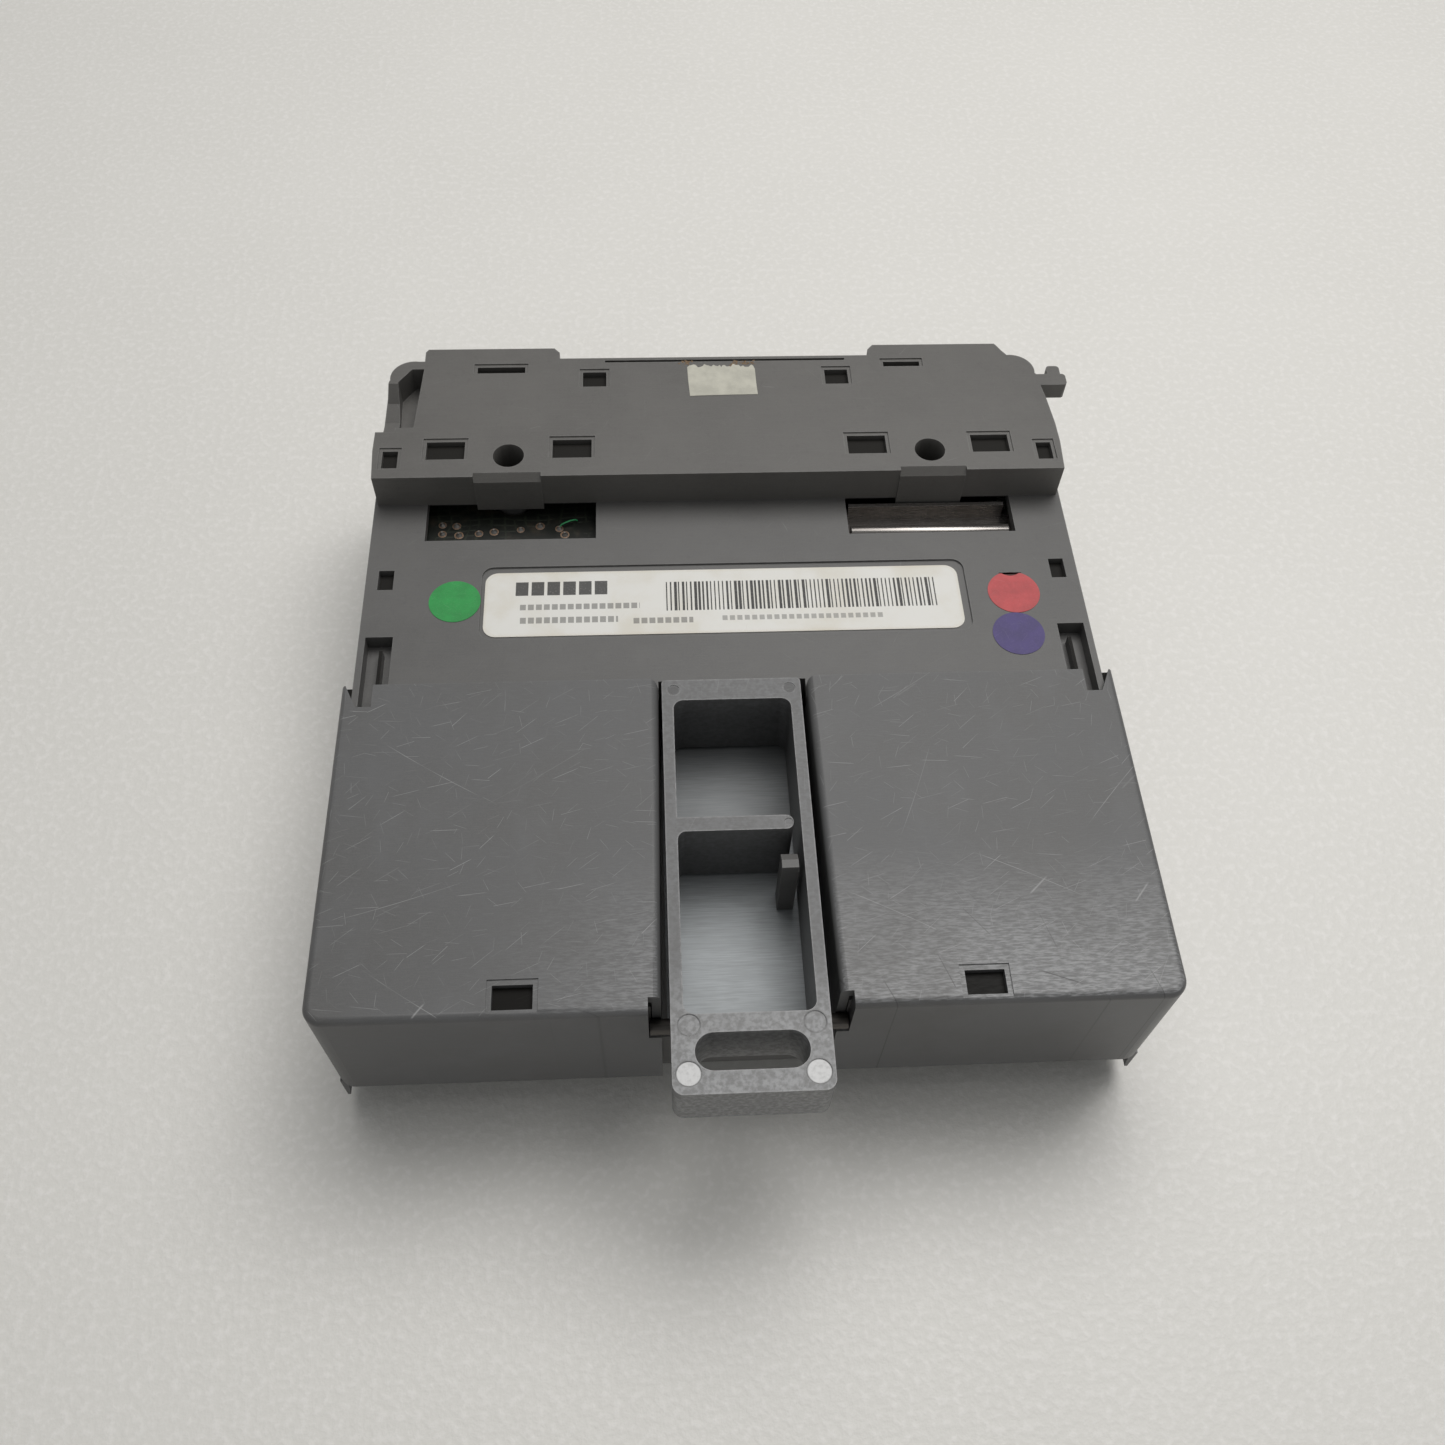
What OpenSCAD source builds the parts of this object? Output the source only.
// Slide-in ticket validator module, drawn as it lies with its service side up.
// X runs across the unit, Y runs from the lever end to the ticket mouth, Z is up.
// The origin is the centre of the flat underside. Most modules draw in deck coordinates:
// Y counts from the covers' front face and Z from the deck's top face; placed() moves them home.

/* [Housing] */
// Width across the two front covers
body_w = 150; // [149:0.5:151]
// Length from the covers' front face to the far edge of the rear tabs
body_l = 153.6; // [153:0.2:155]
// Height of the deck's top face above the underside
deck_h = 42; // [41.5:0.5:44]
// Height of the rear hood above the deck
hood_h = 8.3; // [7.8:0.1:8.8]
// Length of the front covers
cover_l = 68.1; // [67.9:0.1:68.3]
// How far the covers stand above the deck
cover_step = 1.4; // [1.2:0.1:1.5]

/* [Release lever] */
// Width of the release lever
lever_w = 26.9; // [26:0.1:27.2]
// Depth of the handle block
handle_depth = 12; // [10:0.5:12.5]
// How far the handle reaches in front of the covers
handle_reach = 14.1; // [13:0.1:16]
// Diameter of the lever's hinge pin
lever_pin_d = 2.8; // [2.6:0.1:2.8]

/* [Ticket path] */
// Width of the ticket that the path is made for
ticket_w = 54; // [50:1:56]
// Free height between the two ticket guides
ticket_gap = 1.6; // [1.2:0.1:1.8]
// Distance of the ticket path below the deck
path_depth = 27.9; // [27.7:0.1:28.1]
// Diameter of the driven rubber rollers
roller_d = 9.7; // [9.5:0.1:9.8]

/* [Gear train] */
// Module of the gear teeth
gear_module = 0.6; // [0.6:0.1:0.6]
// Teeth on each large gear
gear_teeth = 24; // [24:1:24]
// Teeth on the motor pinion
pinion_teeth = 12; // [12:1:12]

/* [Hidden] */
$fn = 48;

cut = 0.5;                 // how far a cutter passes the face it opens
play = 0.05;               // radial running clearance of every shaft
half_w = body_w / 2;

// Levels, measured from the deck's top face
cover_bottom = -30;        // lower edge of the covers' front wall
wall_bottom = -31.5;       // lower edge of the chassis walls
flange_tip = -37.5;        // lower edge of the covers' side flanges
flange_tip_t = 0.6;        // thickness that the flanges taper down to
underside = -deck_h;
cover_side_t = 1.8;
cover_front_t = 2.85;
cover_plate_t = 2.4;
cover_edge_r = 1.35;       // rounding along the covers' top edges
cover_corner_r = 3.5;      // rounding of the covers' outer front corners
cover_inner_r = 2.2;       // rounding of the covers' corners where the channel ends
deck_half = half_w - cover_side_t;
chassis_wall_t = 2.2;
inside_half = deck_half - chassis_wall_t;
deck_t = 2.2;
deck_front = 64;           // the deck plate starts here, under the covers' rear edge
chassis_back = 150.2;
blind_depth = 1.5;         // depth of the shallow holes and slots in deck, hood and covers
long_slot_depth = 3.4;     // depth of the deck's two long slots

// Lever channel between the covers
channel_half_front = 15.25;
channel_half_rear = 14.35;
channel_taper = atan((channel_half_front - channel_half_rear) / cover_l);
// Middle of the covers' rounded corner there, and where its arc meets the straight edge
inner_corner_x = channel_half_front
    + (cover_inner_r - (cover_l - cover_inner_r) * sin(channel_taper)) / cos(channel_taper);
inner_tangent = [inner_corner_x - cover_inner_r * cos(channel_taper),
                 cover_l - cover_inner_r - cover_inner_r * sin(channel_taper)];
channel_floor = -16.5;     // top of the steel floor plate
floor_plate_t = 1;
tray_top = channel_floor - floor_plate_t;
tray_t = 1;
channel_back = 68.3;

// Release lever
lever_x = -0.3;            // the lever sits to the left by its side play
lever_top = 1.5;
lever_rear = 67.5;
lever_bottom = -15.5;      // lower edge of the long rails
pin_notch_half = 17.45;    // outer sides of the two notches for the lever pin's ends
rail_t = 2.2;
pivot_y = 1.4;
pivot_z = -8.75;

// Rear hood
hood_front = 115.2;
hood_back = 150.3;
hood_wall = 2.2;
hood_pocket_floor = 2.4;   // height of the left pocket's floor above the deck
tab_inner = 34.4;
tab_outer = 63.9;
locating_x = 44.55;
locating_y = 121.1;
locating_r = 3.25;
locating_wall_r = 4.7;     // outside of the tubes round the two locating holes

// Ticket path
path_z = -path_depth;
guide_t = 1.8;
guide_half = 34;
base_t = 1;                // plate of the lower cover, under the chassis walls
screw_x = 62;              // screws of the lower cover
screw_rows = [14, 140];
side_rail_x = ticket_w / 2 + 1.5;
upper_guide_bottom = path_z + ticket_gap / 2;
upper_guide_top = upper_guide_bottom + guide_t;
lower_guide_top = path_z - ticket_gap / 2;
lower_guide_bottom = lower_guide_top - guide_t + 0.2;
path_inner_end = 10;
path_mouth_end = 146;

// Feed shafts and rollers
feed_z = path_z + 5;
inner_y = 80;
platen_y = 104;
mouth_y = 128;
roller_r = roller_d / 2;
roller_x = 18;
roller_w = 10;
shaft_r = 1.5;
pinch_r = 3.9;
pinch_z = path_z - 4.1;
pinch_shaft_r = 1.25;

// Gear train, in one plane beside the right-hand side wall
gear_x = 64.5;
gear_w = 4;
gear_pitch_r = gear_module * gear_teeth / 2;
pinion_pitch_r = gear_module * pinion_teeth / 2;
mesh_slack = 0.06;         // extra centre distance
gear_backlash = 0.12;      // tooth thickness left out at the pitch circle
idler_dy = (mouth_y - platen_y) / 2;
idler_dz = sqrt(pow(2 * gear_pitch_r + mesh_slack, 2) - pow(idler_dy, 2));
idler_z = feed_z + idler_dz;
mouth_idler_y = mouth_y - idler_dy;
inner_idler_y = platen_y - idler_dy;
pinion_angle = 142;        // direction from the inner idler to the motor
pinion_reach = gear_pitch_r + pinion_pitch_r + mesh_slack;
motor_y = inner_idler_y + pinion_reach * cos(pinion_angle);
motor_z = idler_z + pinion_reach * sin(pinion_angle);

// Circuit board
pcb_top = -4;
pcb_t = 1.6;
pcb_screw_spots = [[-64, 86], [-64, 143], [14, 76]];

// ---- Helpers ----

// Moves deck coordinates into the part's frame
module placed() {
    translate([0, -body_l / 2, deck_h]) children();
}

// A block between two corners, given as ranges
module block(x, y, z) {
    translate([x[0], y[0], z[0]]) cube([x[1] - x[0], y[1] - y[0], z[1] - z[0]]);
}

// The same block on both sides of the middle plane
module block_pair(x, y, z) {
    block(x, y, z);
    mirror([1, 0, 0]) block(x, y, z);
}

// Children drawn on both sides of the middle plane
module both_sides() {
    children();
    mirror([1, 0, 0]) children();
}

// An axis along X: the children's own X and Y become Y and Z
module along_x(x, y, z) {
    translate([x, y, z]) rotate([90, 0, 90]) children();
}

module rod_x(x, y, z, r) {
    along_x(x[0], y, z) cylinder(r = r, h = x[1] - x[0]);
}

module rod_z(x, y, z, r) {
    translate([x, y, z[0]]) cylinder(r = r, h = z[1] - z[0]);
}

// Rounded rectangle between two corners, in the plane
module rounded_area(x, y, r) {
    translate([x[0] + r, y[0]]) square([x[1] - x[0] - 2 * r, y[1] - y[0]]);
    translate([x[0], y[0] + r]) square([x[1] - x[0], y[1] - y[0] - 2 * r]);
    for (cx = [x[0] + r, x[1] - r], cy = [y[0] + r, y[1] - r])
        translate([cx, cy]) circle(r = r);
}

module rounded_block(x, y, z, r) {
    translate([0, 0, z[0]]) linear_extrude(z[1] - z[0]) rounded_area(x, y, r);
}

// What is left outside a quarter round, with its corner at the origin
module fillet_area(r) {
    difference() {
        translate([-r, -r]) square(r + cut);
        translate([-r, -r]) circle(r = r);
        translate([-r - cut, -2 * r]) square([cut, 3 * r + cut]);
        translate([-2 * r, -r - cut]) square([3 * r + cut, cut]);
    }
}

// ---- Housing ----

module chassis_walls() {
    // Side walls
    block_pair([inside_half, deck_half], [cover_front_t, chassis_back], [wall_bottom, -deck_t]);
    // Front wall, low in the middle where the lever passes
    block([-inside_half, inside_half], [cover_front_t, 4.9], [wall_bottom, tray_top]);
    block_pair([channel_half_front + 1.8, inside_half], [cover_front_t, 4.9], [tray_top, -3]);
    // Far wall
    block([-inside_half, inside_half], [148.2, chassis_back], [wall_bottom, -deck_t]);
    // Tray under the lever channel and the covers
    block([-inside_half, inside_half], [4.9, channel_back + 2], [tray_top - tray_t, tray_top]);
    // Cross wall behind the channel
    block([-inside_half, inside_half], [channel_back, channel_back + 2], [tray_top, -deck_t]);
}

module deck_plate() {
    block([-deck_half, deck_half], [deck_front, chassis_back - 0.6], [-deck_t, 0]);
    // Pans under the long slots
    block_pair([65.4, inside_half], [deck_front, 81.7], [-long_slot_depth - 0.9, -deck_t]);
}

module deck_openings() {
    // Windows in front of the hood
    block_pair([26.6, 62.1], [105.2, 117], [-deck_t - cut, cut]);
    // Small square holes near the edges
    block_pair([67.6, 70.7], [92.4, 97.4], [-blind_depth, cut]);
    // Long slots that run under the covers' rear corners
    block_pair([66.5, 71.9], [deck_front - cut, 80.5], [-long_slot_depth, cut]);
    // Openings under the hood
    block([-38, 38], [118.5, 146], [-deck_t - cut, cut]);
    block_pair([52, 62], [118.5, 146], [-deck_t - cut, cut]);
    // Space for the lever's tail, open to the channel
    block([-channel_half_rear, channel_half_rear], [60, channel_back], [-deck_t - cut, cut]);
    // Sunk bed of the rating label
    rounded_block([-49.7, 49.5], [79.5, 97.8], [-0.4, cut], 2.4);
}

module chassis_bosses() {
    // Guide bores under the hood's two round holes
    both_sides() rod_z(locating_x, locating_y, [-20, 0], locating_wall_r);
    // Posts for the lower cover's screws
    for (y = screw_rows) both_sides() {
        rod_z(screw_x, y, [wall_bottom, -24], 3.4);
        block([screw_x, inside_half], [y - 1, y + 1], [wall_bottom, -24]);
    }
    // Posts for the circuit board
    for (p = pcb_screw_spots) rod_z(p[0], p[1], [pcb_top, -deck_t], 2.6);
    // Rib inside each long slot
    block_pair([68.5, 69.2], [66, 78], [-long_slot_depth - 0.1, -1.2]);
}

module main_chassis() {
    color("#55534e") placed() difference() {
        union() {
            difference() {
                union() {
                    chassis_walls();
                    deck_plate();
                }
                deck_openings();
            }
            chassis_bosses();
        }
        // Bores of the two locating holes
        both_sides() rod_z(locating_x, locating_y, [-18, cut], locating_r);
        // Screw holes
        for (y = screw_rows) both_sides() rod_z(screw_x, y, [wall_bottom - cut, -25], 1.25);
        for (p = pcb_screw_spots) rod_z(p[0], p[1], [pcb_top - cut, -2.6], 1.25);
        // Bush seats in the side walls
        for (y = [inner_y, platen_y, mouth_y])
            rod_x([-deck_half - cut, deck_half + cut], y, feed_z, 3.02);
        // Ticket mouth and host connector in the far wall
        block([-33, 33], [147, chassis_back + cut], [wall_bottom - cut, path_z + 4.4]);
        block([-62, -38], [147, chassis_back + cut], [-23, -13]);
        // Small latch windows in the side walls
        for (y = [92, 116, 140]) both_sides() block([70, 74], [y - 3, y + 3], [-12, -8]);
    }
}

// Right half of the hood's outline, seen from above
module hood_half_area() {
    polygon([[-0.1, hood_front], [72.5, hood_front], [72.95, 123], [72.85, 128.6], [72.2, 136.3],
             [71.2, 143.8], [66, 149.8], [tab_outer, 149.8], [tab_outer, hood_back], [-0.1, hood_back]]);
    translate([66.1, 144.9]) circle(r = 5);
    // Tab with cut corners
    polygon([[tab_inner, hood_back - 4], [tab_outer, hood_back - 4], [tab_outer, body_l - 0.9],
             [tab_outer - 0.6, body_l], [tab_inner + 1.2, body_l], [tab_inner, body_l - 1.4]]);
}

module hood_area() {
    hood_half_area();
    mirror([1, 0]) hood_half_area();
    // Shoulder beside the right tab
    polygon([[tab_outer - 1, 149], [67.6, 149.4], [65.6, 149.9], [64.6, 151.4], [tab_outer, body_l - 0.9],
             [tab_outer - 1, body_l - 0.9]]);
}

// A blind slot in the hood with a shallow sunk frame round it
module framed_slot(x, y) {
    block(x, y, [hood_h - blind_depth, hood_h + cut]);
    block([x[0] - 0.7, x[1] + 0.7], [y[0] - 0.25, y[1] + 0.8], [hood_h - 0.3, hood_h + cut]);
}

module hood_slots() {
    both_sides() framed_slot([53.8, 61.8], [120.5, 125.5]);
    both_sides() framed_slot([27.2, 35.4], [120.5, 125.7]);
    both_sides() framed_slot([67.6, 70.8], [118.2, 123]);
    both_sides() framed_slot([24.1, 29.2], [141.6, 146.1]);
    framed_slot([-52.3, -41.9], [146.1, 148]);
    framed_slot([37.5, 45.6], [146.9, 148.4]);
    // Thin slit along the far edge
    block([-24.4, 28.9], [148.9, 149.5], [hood_h - 1.2, hood_h + cut]);
}

// Pocket at the left end, the counterpart of the hook on the right
module hood_pocket() {
    translate([0, 0, hood_pocket_floor]) linear_extrude(hood_h)
        polygon([[-63.9, 147.4], [-64.9, 129.6], [-69.4, 129.6], [-69, 136], [-69.2, 143.5], [-66.5, 147.4]]);
    // Rim that slopes up towards the far end
    translate([-75, 0, 0]) rotate([90, 0, 90]) linear_extrude(6.2)
        polygon([[128.4, 3.2], [136, 3.4], [140, 5.2], [143.5, hood_h + cut], [128.4, hood_h + cut]]);
}

module hood_hook() {
    rounded_block([69, 77.7], [140.2, 143.6], [4.4, hood_h], 0.8);
    rounded_block([73.8, 76.7], [141, 146.1], [4.4, hood_h], 0.8);
}

// Snap panel on the hood's front wall, with a sloped upper part
module snap_panel() {
    block([37.7, 51.7], [hood_front - 0.35, hood_front + 1], [-1.4, hood_h]);
}

// Cuts the slope along a snap panel's top
module snap_panel_slope() {
    translate([37.7, 0, 0]) rotate([90, 0, 90]) linear_extrude(14)
        polygon([[hood_front - 1, hood_h - 2.1], [hood_front + 1.1, hood_h], [hood_front + 1.1, hood_h + cut],
                 [hood_front - 1, hood_h + cut]]);
}

module rear_hood() {
    color("#5a5853") placed() difference() {
        union() {
            difference() {
                linear_extrude(hood_h) hood_area();
                // Hollow inside, open below
                block([-70.4, 70.4], [hood_front + hood_wall, 127], [-cut, hood_h - hood_wall]);
                block([-62, 70.4], [126, 140], [-cut, hood_h - hood_wall]);
                block([-62, 65], [139, hood_back - hood_wall], [-cut, hood_h - hood_wall]);
                // The tabs are only as thick as the top
                block([-75, 75], [hood_back, body_l + cut], [-cut, 3.4]);
                hood_pocket();
            }
            both_sides() rod_z(locating_x, locating_y, [0, hood_h - cut], locating_wall_r);
            hood_hook();
            both_sides() snap_panel();
        }
        hood_slots();
        both_sides() snap_panel_slope();
        both_sides() rod_z(locating_x, locating_y, [-cut, hood_h + cut], locating_r);
    }
}

// Outline of the right cover, seen from above
module cover_area() {
    difference() {
        union() {
            polygon([[channel_half_front, 0], [half_w - cover_corner_r, 0], [half_w, cover_corner_r],
                     [half_w, 63], [69, 63], [69, cover_l], [inner_corner_x, cover_l], inner_tangent]);
            translate([half_w - cover_corner_r, cover_corner_r]) circle(r = cover_corner_r);
            translate([inner_corner_x, cover_l - cover_inner_r]) circle(r = cover_inner_r);
        }
        // Notch for the lever pin's end
        translate([channel_half_front - 1, -1])
            square([pin_notch_half - channel_half_front + 1, cover_front_t + 1]);
    }
}

// Pointed fin where the side wall runs out at the rear corner
module cover_fin() {
    linear_extrude(cover_step)
        polygon([[71.9, 62.8], [half_w, 62.8], [half_w, cover_l], [half_w - 0.7, cover_l]]);
}

// Flange below the side wall, which tapers to a thin edge
module cover_flange() {
    translate([0, cover_l, 0]) rotate([90, 0, 0]) linear_extrude(cover_l - cover_corner_r)
        polygon([[half_w - cover_side_t + 0.1, cover_bottom + cut], [half_w, cover_bottom + cut],
                 [half_w, flange_tip], [half_w - flange_tip_t, flange_tip]]);
    // Its front end stands in behind the rounded corner
    translate([0, cover_corner_r + 0.2, 0]) rotate([90, 0, 0]) linear_extrude(cover_corner_r - 1)
        polygon([[half_w - cover_side_t + 0.05, cover_bottom], [half_w - 0.35, cover_bottom],
                 [half_w - 0.35, flange_tip], [half_w - 0.3 - flange_tip_t, flange_tip]]);
}

module cover_edge_rounding() {
    // Along the front
    translate([0, 0, cover_step]) rotate([90, 0, 90])
        linear_extrude(half_w - cover_corner_r) mirror([1, 0]) fillet_area(cover_edge_r);
    // Along the outer side
    translate([half_w, cover_corner_r, cover_step]) rotate([90, 0, 180]) mirror([1, 0, 0])
        linear_extrude(cover_l) fillet_area(cover_edge_r);
    // Round the outer front corner
    translate([half_w - cover_corner_r, cover_corner_r, cover_step]) rotate([0, 0, -90])
        rotate_extrude(angle = 90) translate([cover_corner_r, 0]) fillet_area(cover_edge_r);
    // Along the lever channel, which narrows a little towards its end
    translate([channel_half_front, 0, cover_step]) rotate([0, 0, channel_taper]) rotate([90, 0, 180])
        translate([0, 0, -cut]) linear_extrude(cover_l + 2 * cut) fillet_area(cover_edge_r);
}

module right_cover_shape() {
    difference() {
        union() {
            translate([0, 0, cover_step - cover_plate_t]) linear_extrude(cover_plate_t) cover_area();
            // Front wall
            block([pin_notch_half, half_w - cover_corner_r], [0, cover_front_t], [cover_bottom, 0]);
            // Seat under the lever pin's end
            block([channel_half_front, pin_notch_half + 0.1], [0, cover_front_t],
                  [cover_bottom, pivot_z - lever_pin_d / 2]);
            // Rounded outer front corner
            intersection() {
                translate([half_w - cover_corner_r, cover_corner_r, cover_bottom])
                    cylinder(r = cover_corner_r, h = -cover_bottom);
                block([half_w - cover_corner_r, half_w], [0, cover_corner_r], [cover_bottom, 0]);
            }
            // Outer side wall
            block([half_w - cover_side_t, half_w], [cover_corner_r, cover_l], [cover_bottom, 0]);
            cover_flange();
            cover_fin();
            // Wall along the lever channel
            translate([0, 0, tray_top]) linear_extrude(-tray_top)
                polygon([[channel_half_front, cover_front_t], [channel_half_front + 1.6, cover_front_t],
                         [channel_half_rear + 1.6, deck_front], [channel_half_rear, deck_front]]);
        }
        // Step that lies on the deck plate
        block([0, deck_half], [deck_front - 0.2, cover_l + cut], [-3 - cut, 0]);
        // Room behind the corner for the chassis wall
        block([60, deck_half], [cover_front_t, cover_corner_r + 1],
              [cover_bottom - cut, cover_step - cover_plate_t]);
        // Rectangular latch slot with its shallow frame
        block([36.7, 43.6], [1.5, 5.9], [cover_step - blind_depth, cover_step + cut]);
        block([35.8, 44.5], [0.9, 6.9], [cover_step - 0.25, cover_step + cut]);
        cover_edge_rounding();
    }
}

module right_cover() {
    color("#4c4b49") placed() right_cover_shape();
}

module left_cover() {
    color("#4c4b49") placed() mirror([1, 0, 0]) right_cover_shape();
}

// Belly that houses the pinch rollers and print head, with the plate that closes the chassis
module lower_cover() {
    color("#494846") placed() difference() {
        union() {
            block([-deck_half, deck_half], [6, 148], [wall_bottom - base_t, wall_bottom]);
            rounded_block([-52, 52], [12, 146], [underside, wall_bottom - base_t / 2], 6);
        }
        rounded_block([-50, 50], [14, 144], [underside + 2, wall_bottom + cut], 4);
        for (y = screw_rows) both_sides()
            rod_z(screw_x, y, [wall_bottom - 2 * base_t, wall_bottom + cut], 1.6);
    }
}

module channel_floor_plate() {
    color("#9ba2a8") placed() block([-14.2, 14.2], [5.1, channel_back], [tray_top, channel_floor]);
}

module lower_cover_screws() {
    color("#8d8f90") placed() for (y = screw_rows) both_sides() {
        rod_z(screw_x, y, [wall_bottom - base_t - 1.6, wall_bottom - base_t], 2.8);
        rod_z(screw_x, y, [wall_bottom - base_t - cut, -26], 1.2);
    }
}

// ---- Release lever ----

module lever_body() {
    // Handle block
    rounded_block([-lever_w / 2, lever_w / 2], [-handle_reach, 6], [lever_top - handle_depth, lever_top], 2);
    // Long rails down into the channel
    rounded_block([-lever_w / 2, lever_w / 2], [-1.4, lever_rear], [lever_bottom, lever_top], 0.8);
}

module lever_crossbar() {
    rounded_block([-lever_w / 2 + 0.5, 9.9], [34.2, 37.1], [lever_bottom, lever_top], 1.4);
    // Fillet into the left rail
    translate([-lever_w / 2 + rail_t - 0.1, 34.3, lever_bottom]) linear_extrude(lever_top - lever_bottom)
        difference() {
            translate([0, -1.8]) square([1.9, 1.9]);
            translate([1.9, -1.8]) circle(r = 1.8);
        }
}

// Round marks left by the mould's ejector pins
module ejector_marks() {
    for (p = [[-10.4, -2.3, 1.9], [10.7, -2.4, 1.9], [-10.7, -10.6, 2.1], [10.7, -10.9, 2.1],
              [-11.2, 65.2, 1.2], [11.2, 65.2, 1.2], [9, 35.6, 0.8]])
        rod_z(p[0], p[1], [lever_top - 0.12, lever_top + cut], p[2]);
}

module release_lever() {
    color("#8b8d8e") placed() translate([lever_x, 0, 0]) difference() {
        union() {
            difference() {
                lever_body();
                rounded_block([-lever_w / 2 + rail_t, lever_w / 2 - rail_t], [-0.4, 62.8],
                              [lever_bottom - cut, lever_top + cut], 1.9);
            }
            lever_crossbar();
        }
        // Finger slot
        rounded_block([-9.55, 9.55], [-10.2, -3.7], [-handle_depth, lever_top + cut], 3.2);
        rod_x([-half_w, half_w], pivot_y, pivot_z, lever_pin_d / 2 + play);
        ejector_marks();
    }
}

module lever_pin() {
    color("#4a4744") placed()
        rod_x([-pin_notch_half + 0.25, pin_notch_half - 0.25], pivot_y, pivot_z, lever_pin_d / 2);
}

// Moulded post with a small nose beside the lever's right rail
module lever_catch() {
    color("#504f4c") placed() difference() {
        union() {
            block([6.9, 10], [26.6, 30], [channel_floor, 0.9]);
            block([9.9, 10.3], [27.2, 29.4], [-4, -2.4]);
        }
        translate([6, 28.2, 0.9]) rotate([-35, 0, 0]) cube([5, 4, 2]);
    }
}

module lever_buffer() {
    color("#2b2b2b") placed() rounded_block([-5, 5], [63.4, 67], [channel_floor, -15.8], 1);
}

// ---- Labels ----

module rating_label() {
    color("#d9d8d0") placed() rounded_block([-49, 48], [80.1, 96.4], [-0.4, -0.25], 2.2);
}

module round_sticker(x, y, r) {
    placed() rod_z(x, y, [0, 0.12], r);
}

module green_dot() {
    color("#2f9a4a") round_sticker(-54.9, 89.05, 5.2);
}

module red_dot() {
    color("#c0454f") round_sticker(59, 88.75, 5.35);
}

module purple_dot() {
    color("#4b3f86") round_sticker(58.3, 78.15, 5.25);
}

// Torn paper seal near the far edge
module tamper_seal() {
    color("#cfcab8") placed() translate([0, 0, hood_h]) linear_extrude(0.1)
        polygon([[-5.9, 138], [-5.4, 138.3], [8.9, 138.3], [8.6, 147.9], [6.9, 147.5], [5.2, 148.1],
                 [4.1, 146.9], [2.6, 147.6], [0.8, 146.8], [-0.9, 147.7], [-2.6, 147.1], [-4, 147.9],
                 [-6.2, 147.5], [-6.1, 143]]);
}

// ---- Ticket path ----

module upper_ticket_guide() {
    color("#3d3c3a") placed() difference() {
        block([-guide_half, guide_half], [path_inner_end, path_mouth_end],
              [upper_guide_bottom, upper_guide_top]);
        for (y = [inner_y, mouth_y])
            block_pair([12, 24], [y - 5.4, y + 5.4], [upper_guide_bottom - cut, upper_guide_top + cut]);
        block([-29.5, 29.5], [platen_y - 5.4, platen_y + 5.4],
              [upper_guide_bottom - cut, upper_guide_top + cut]);
        block([-6, 6], [86.6, 96.4], [upper_guide_bottom - cut, upper_guide_top + cut]);
    }
}

module lower_ticket_guide() {
    color("#3d3c3a") placed() difference() {
        union() {
            block([-58, 58], [path_inner_end + 4.2, 143.8], [lower_guide_bottom, lower_guide_top]);
            block_pair([53, 58], [path_inner_end + 4.2, 143.8], [wall_bottom, lower_guide_bottom]);
            block_pair([side_rail_x, guide_half], [path_inner_end + 4.2, 143.8],
                       [lower_guide_top, upper_guide_bottom]);
        }
        for (y = [inner_y, mouth_y])
            block_pair([12, 24], [y - 5, y + 5], [wall_bottom, lower_guide_top + cut]);
        block([-28.5, 28.5], [platen_y - 5, platen_y + 5], [wall_bottom, lower_guide_top + cut]);
    }
}

// Flared insert that leads the ticket into the path
module ticket_mouth() {
    color("#2e2d2c") placed() difference() {
        block([-32.8, 32.8], [146.2, 152.6], [path_z - 3.4, path_z + 4.2]);
        block([-side_rail_x, side_rail_x], [146, 153], [path_z - ticket_gap / 2, path_z + ticket_gap / 2]);
        translate([-side_rail_x - 1, 0, 0]) rotate([90, 0, 90]) linear_extrude(2 * side_rail_x + 2)
            polygon([[147, path_z - ticket_gap / 2], [153, path_z - 2.9], [153, path_z + 3.7],
                     [147, path_z + ticket_gap / 2]]);
    }
}

module feed_shaft(y) {
    color("#b4b7ba") placed() rod_x([-72.9, 72.9], y, feed_z, shaft_r);
}

module mouth_feed_shaft() {
    feed_shaft(mouth_y);
}

module platen_shaft() {
    feed_shaft(platen_y);
}

module inner_feed_shaft() {
    feed_shaft(inner_y);
}

module ring_x(x, y, z, outer, inner) {
    difference() {
        rod_x(x, y, z, outer);
        rod_x([x[0] - cut, x[1] + cut], y, z, inner);
    }
}

module feed_rollers(y) {
    color("#262626") placed() both_sides()
        ring_x([roller_x - roller_w / 2, roller_x + roller_w / 2], y, feed_z, roller_r, shaft_r);
}

module mouth_feed_rollers() {
    feed_rollers(mouth_y);
}

module inner_feed_rollers() {
    feed_rollers(inner_y);
}

module platen_roller() {
    color("#262626") placed() ring_x([-28, 28], platen_y, feed_z, roller_r, shaft_r);
}

// Flanged bushes in the side walls
module shaft_bushes() {
    color("#b08a4a") placed() for (y = [inner_y, platen_y, mouth_y]) both_sides() difference() {
        union() {
            rod_x([inside_half - 0.8, inside_half], y, feed_z, 4.2);
            rod_x([inside_half, deck_half], y, feed_z, 3);
        }
        rod_x([inside_half - 2, deck_half + cut], y, feed_z, shaft_r + play);
    }
}

// ---- Gears ----

function involute_deg(angle) = tan(angle) * 180 / PI - angle;

// Half the tooth's angle at radius r, for a gear of the given pitch radius
function half_tooth(r, pitch_r) =
    (PI * gear_module / 2 - gear_backlash) / (2 * pitch_r) * 180 / PI
    + involute_deg(20) - involute_deg(acos(min(1, pitch_r * cos(20) / r)));

function polar(r, angle) = [r * cos(angle), r * sin(angle)];

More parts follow.
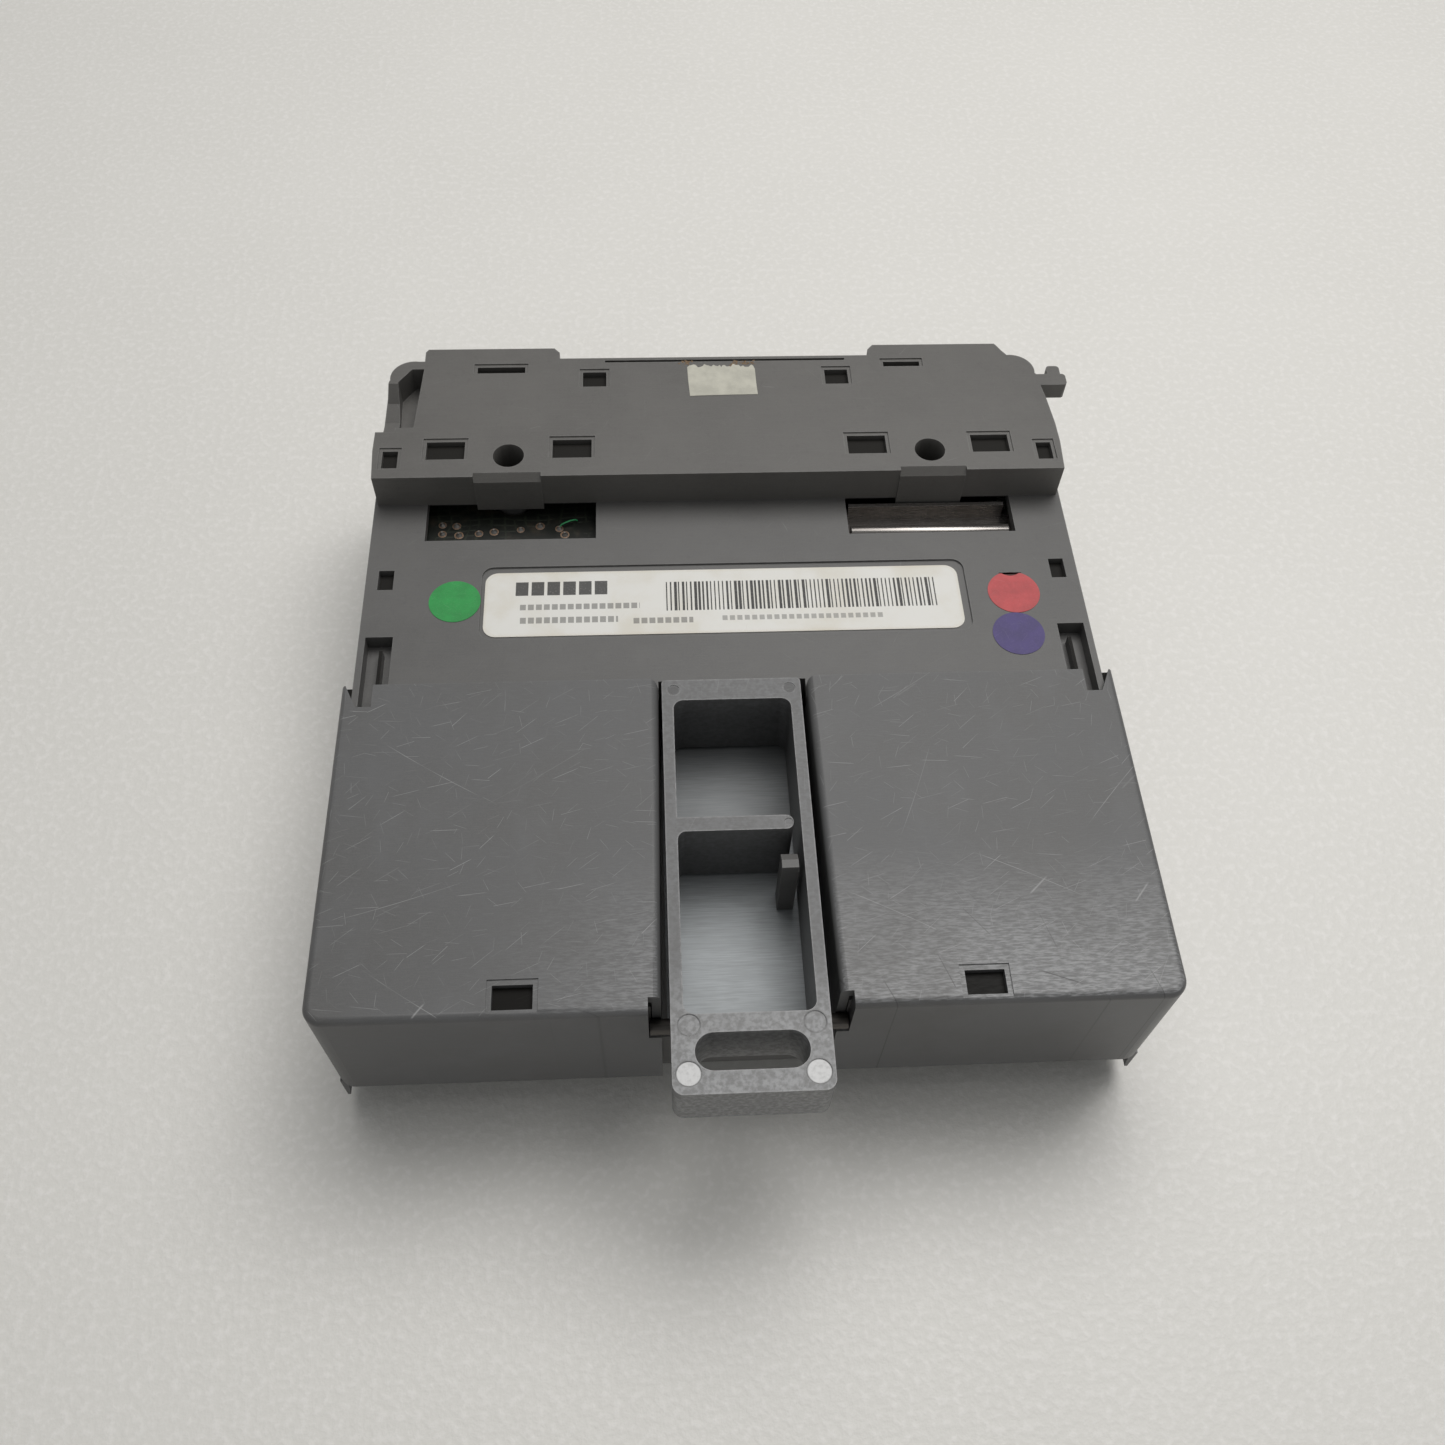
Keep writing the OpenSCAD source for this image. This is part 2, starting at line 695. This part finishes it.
module gear_area(teeth, phase) {
    pitch_r = gear_module * teeth / 2;
    base_r = pitch_r * cos(20);
    tip_r = pitch_r + gear_module;
    root_r = pitch_r - 1.25 * gear_module;
    flank = [for (i = [0:3]) base_r + (tip_r - base_r) * i / 3];
    polygon([for (t = [0:teeth - 1]) each concat(
        [polar(root_r, phase + 360 * t / teeth - half_tooth(base_r, pitch_r))],
        [for (r = flank) polar(r, phase + 360 * t / teeth - half_tooth(r, pitch_r))],
        [for (i = [3:-1:0]) polar(flank[i], phase + 360 * t / teeth + half_tooth(flank[i], pitch_r))],
        [polar(root_r, phase + 360 * t / teeth + half_tooth(base_r, pitch_r))])]);
}

// Phase that puts a second gear's gap where the first gear's tooth meets the line of centres
function meshed(phase, direction, teeth, next_teeth) =
    direction + 180 + (direction - phase) * teeth / next_teeth + 180 / next_teeth;

up_left = atan2(idler_dz, -idler_dy);
down_left = atan2(-idler_dz, -idler_dy);
mouth_phase = 0;
mouth_idler_phase = meshed(mouth_phase, up_left, gear_teeth, gear_teeth);
platen_phase = meshed(mouth_idler_phase, down_left, gear_teeth, gear_teeth);
inner_idler_phase = meshed(platen_phase, up_left, gear_teeth, gear_teeth);
inner_phase = meshed(inner_idler_phase, down_left, gear_teeth, gear_teeth);
pinion_phase = meshed(inner_idler_phase, pinion_angle, gear_teeth, pinion_teeth);

module gear(y, z, teeth, phase, bore_r) {
    color("#d8d3c4") placed() difference() {
        along_x(gear_x, y, z) linear_extrude(gear_w) gear_area(teeth, phase);
        rod_x([gear_x - cut, gear_x + gear_w + cut], y, z, bore_r);
    }
}

module mouth_feed_gear() {
    gear(mouth_y, feed_z, gear_teeth, mouth_phase, shaft_r);
}

module platen_gear() {
    gear(platen_y, feed_z, gear_teeth, platen_phase, shaft_r);
}

module inner_feed_gear() {
    gear(inner_y, feed_z, gear_teeth, inner_phase, shaft_r);
}

module mouth_idler_gear() {
    gear(mouth_idler_y, idler_z, gear_teeth, mouth_idler_phase, shaft_r + play);
}

module inner_idler_gear() {
    gear(inner_idler_y, idler_z, gear_teeth, inner_idler_phase, shaft_r + play);
}

module motor_pinion() {
    gear(motor_y, motor_z, pinion_teeth, pinion_phase, 1);
}

// Headed pins that carry the two idlers
module idler_pins() {
    color("#b4b7ba") placed() for (y = [inner_idler_y, mouth_idler_y]) {
        rod_x([63.8, inside_half], y, idler_z, shaft_r);
        rod_x([63.2, 64.1], y, idler_z, 2.4);
    }
}

// ---- Motor ----

module motor_can() {
    color("#a9acae") placed() difference() {
        union() {
            intersection() {
                rod_x([36, 61.2], motor_y, motor_z, 7.7);
                block([36, 61.2], [motor_y - 8, motor_y + 8], [motor_z - 5.4, motor_z + 5.4]);
            }
            rod_x([61, 62.6], motor_y, motor_z, 2.4);
        }
        rod_x([57.9, 63], motor_y, motor_z, 1 + play);
    }
}

module motor_bracket() {
    color("#8f9294") placed() difference() {
        union() {
            block([61.2, 62.3], [motor_y - 9, motor_y + 9], [motor_z - 7, -deck_t]);
            block([52, 61.3], [motor_y - 9, motor_y + 9], [-deck_t - 0.5, -deck_t]);
        }
        rod_x([61, 63], motor_y, motor_z, 2.45);
        for (side = [-1, 1]) rod_x([61, 63], motor_y + 5.6 * side, motor_z, 0.85);
    }
}

module motor_screws() {
    color("#8d8f90") placed() for (side = [-1, 1])
        rod_x([62.3, 63.2], motor_y + 5.6 * side, motor_z, 1.6);
}

module motor_shaft() {
    color("#b4b7ba") placed() rod_x([58, 69], motor_y, motor_z, 1);
}

// ---- Pinch rollers ----

module pinch_shaft(y) {
    color("#b4b7ba") placed() rod_x([-30, 30], y, pinch_z, pinch_shaft_r);
}

module mouth_pinch_shaft() {
    pinch_shaft(mouth_y);
}

module inner_pinch_shaft() {
    pinch_shaft(inner_y);
}

module pinch_rollers(y) {
    color("#d8d3c4") placed() both_sides()
        ring_x([roller_x - 4.5, roller_x + 4.5], y, pinch_z, pinch_r, pinch_shaft_r);
}

module mouth_pinch_rollers() {
    pinch_rollers(mouth_y);
}

module inner_pinch_rollers() {
    pinch_rollers(inner_y);
}

// Saddle that carries a pinch shaft and yields as a ticket passes
module pinch_carriage(y) {
    color("#3d3c3a") placed() difference() {
        union() {
            block([-29.8, 29.8], [y - 4, y + 4], [-37.6, -36.4]);
            block_pair([26, 29.8], [y - 4, y + 4], [-36.5, -30.4]);
        }
        rod_x([-32, 32], y, pinch_z, pinch_shaft_r + play);
    }
}

module mouth_pinch_carriage() {
    pinch_carriage(mouth_y);
}

module inner_pinch_carriage() {
    pinch_carriage(inner_y);
}

// Bowed leaf springs on the belly's floor, drawn fully pressed
module pinch_springs() {
    color("#a9acae") placed() for (y = [inner_y, mouth_y])
        translate([0, y - 2.5, 0]) rotate([90, 0, 0]) mirror([0, 0, 1]) linear_extrude(5)
            polygon([[-24, -40], [-21, -40], [-8, -38], [8, -38], [21, -40], [24, -40], [24, -39.6],
                     [21, -39.6], [8, -37.6], [-8, -37.6], [-21, -39.6], [-24, -39.6]]);
}

// ---- Heads and sensors ----

module print_head() {
    color("#cfd3d6") placed() {
        block([-28, 28], [platen_y - 4.5, platen_y + 4.5], [-30.9, -28.5]);
        translate([-26, platen_y, -28.5]) rotate([90, 0, 90]) linear_extrude(52)
            polygon([[-1.2, 0], [1.2, 0], [0.6, 0.4], [-0.6, 0.4]]);
    }
}

module head_heatsink() {
    color("#a2a5a7") placed() difference() {
        block([-31, 31], [platen_y - 7, platen_y + 7], [underside + 2, -30.9]);
        for (i = [-2:2])
            block([-32, 32], [platen_y + 2.6 * i - 0.6, platen_y + 2.6 * i + 0.6], [underside, -34]);
    }
}

module read_head() {
    color("#6f7274") placed() {
        block([-6, 6], [86.6, 96.4], [upper_guide_bottom, -17]);
        block([-8, 8], [88, 95], [upper_guide_top, upper_guide_top + 1]);
        block([-2.2, 2.2], [89.5, 93.5], [-17, -14]);
    }
}

module ticket_sensors() {
    color("#22201f") placed() for (y = [72, 140]) {
        block([-4, 4], [y - 2.5, y + 2.5], [upper_guide_top, -21.5]);
        block([-1, 1], [y - 1, y + 1], [-21.5, -20.3]);
    }
}

module encoder_disc() {
    color("#1f1f20") placed() difference() {
        rod_x([-62.5, -61.5], inner_y, feed_z, 6.8);
        rod_x([-63, -61], inner_y, feed_z, shaft_r);
        for (a = [0:30:330]) along_x(-63, inner_y, feed_z) rotate([0, 0, a])
            translate([4.2, -0.5, 0]) cube([1.8, 1, 2]);
    }
}

module encoder_sensor() {
    color("#22201f") placed() difference() {
        block([-65, -59], [inner_y - 3, inner_y + 3], [-18.6, pcb_top - pcb_t]);
        block([-63.2, -60.8], [inner_y - 4, inner_y + 4], [-19, -14]);
    }
}

// ---- Electronics ----

module main_pcb() {
    color("#1d2a22") placed() difference() {
        block([-68, 18], [73, 146], [pcb_top - pcb_t, pcb_top]);
        rod_z(-locating_x, locating_y, [pcb_top - pcb_t - cut, pcb_top + cut], 5.6);
        // Corner that leaves room for the long slot's pan
        block([-68 - cut, -65], [73 - cut, 82.3], [pcb_top - pcb_t - cut, pcb_top + cut]);
        for (p = pcb_screw_spots)
            rod_z(p[0], p[1], [pcb_top - pcb_t - cut, pcb_top + cut], 1.5);
    }
}

module pcb_screws() {
    color("#8d8f90") placed() for (p = pcb_screw_spots) {
        rod_z(p[0], p[1], [pcb_top - pcb_t - 1.4, pcb_top - pcb_t], 2.4);
        rod_z(p[0], p[1], [pcb_top - pcb_t - cut, -2.8], 1.2);
    }
}

// Solder joints that show in the left deck window
module solder_joints() {
    color("#c9c3b4") placed() for (p = [[-59.4, 112.9, 0.8], [-59.3, 110.4, 0.9], [-56.4, 112.6, 0.7],
        [-55.8, 110, 1], [-51.6, 110.4, 0.8], [-48.4, 110.8, 0.7], [-46.2, 107, 0.7], [-42.8, 111.3, 0.8],
        [-38.7, 112.2, 0.8], [-34.6, 111.4, 1], [-33.4, 109.7, 0.7]])
        translate([p[0], p[1], pcb_top]) cylinder(r1 = p[2], r2 = 0.25 * p[2], h = 0.75 * p[2]);
}

module pcb_components() {
    color("#242322") placed() {
        for (p = [[-50, 84], [-34, 84], [-18, 90]])
            block([p[0] - 5, p[0] + 5], [p[1] - 4, p[1] + 4], [pcb_top - pcb_t - 2.6, pcb_top - pcb_t]);
        block([-6, 10], [104, 120], [pcb_top - pcb_t - 2, pcb_top - pcb_t]);
        for (x = [-56, -46, -36]) rod_z(x, 100, [pcb_top - pcb_t - 8, pcb_top - pcb_t], 3.2);
    }
}

module jumper_wire() {
    color("#3fae66") placed() translate([-34.5, 111.6, pcb_top + 1.05]) rotate([90, 0, 120])
        cylinder(r = 0.25, h = 4.6);
}

module host_connector() {
    color("#26282a") placed() difference() {
        union() {
            block([-61.8, -38.2], [140, 151], [-22.8, -13.2]);
            block([-60, -40], [136, 140], [-20, pcb_top - pcb_t]);
        }
        block([-60.4, -39.6], [142, 151 + cut], [-21.4, -14.6]);
    }
}

module connector_pins() {
    color("#c7a24e") placed() for (i = [0:6], z = [-19.3, -16.7])
        block([-58 + 2.54 * i, -57.4 + 2.54 * i], [142, 146.4], [z - 0.3, z + 0.3]);
}

// Pressed steel rail that shows in the right deck window
module steel_channel() {
    color("#b7b4ae") placed() {
        block([27.4, 61], [105.4, 108.6], [-6, -2.2]);
        rod_x([27.4, 61], 107, -2.2, 1.6);
        block([24.4, 63.8], [108.6, 114.4], [-6, -5.2]);
        block([27.4, 61], [113.5, 114.4], [-5.2, -1]);
        // Ends bent up against the deck
        block([24.4, 25.2], [108.6, 114.4], [-5.2, -deck_t]);
        block([63, 63.8], [108.6, 114.4], [-5.2, -deck_t]);
    }
}

main_chassis();
rear_hood();
left_cover();
right_cover();
lower_cover();
channel_floor_plate();
release_lever();
lever_pin();
lever_catch();
lever_buffer();
rating_label();
green_dot();
red_dot();
purple_dot();
tamper_seal();
upper_ticket_guide();
lower_ticket_guide();
ticket_mouth();
mouth_feed_shaft();
mouth_feed_rollers();
mouth_feed_gear();
platen_shaft();
platen_roller();
platen_gear();
inner_feed_shaft();
inner_feed_rollers();
inner_feed_gear();
encoder_disc();
encoder_sensor();
mouth_idler_gear();
inner_idler_gear();
idler_pins();
shaft_bushes();
motor_can();
motor_bracket();
motor_shaft();
motor_pinion();
motor_screws();
mouth_pinch_shaft();
mouth_pinch_rollers();
mouth_pinch_carriage();
inner_pinch_shaft();
inner_pinch_rollers();
inner_pinch_carriage();
pinch_springs();
print_head();
head_heatsink();
read_head();
ticket_sensors();
main_pcb();
solder_joints();
pcb_components();
jumper_wire();
pcb_screws();
host_connector();
connector_pins();
steel_channel();
lower_cover_screws();
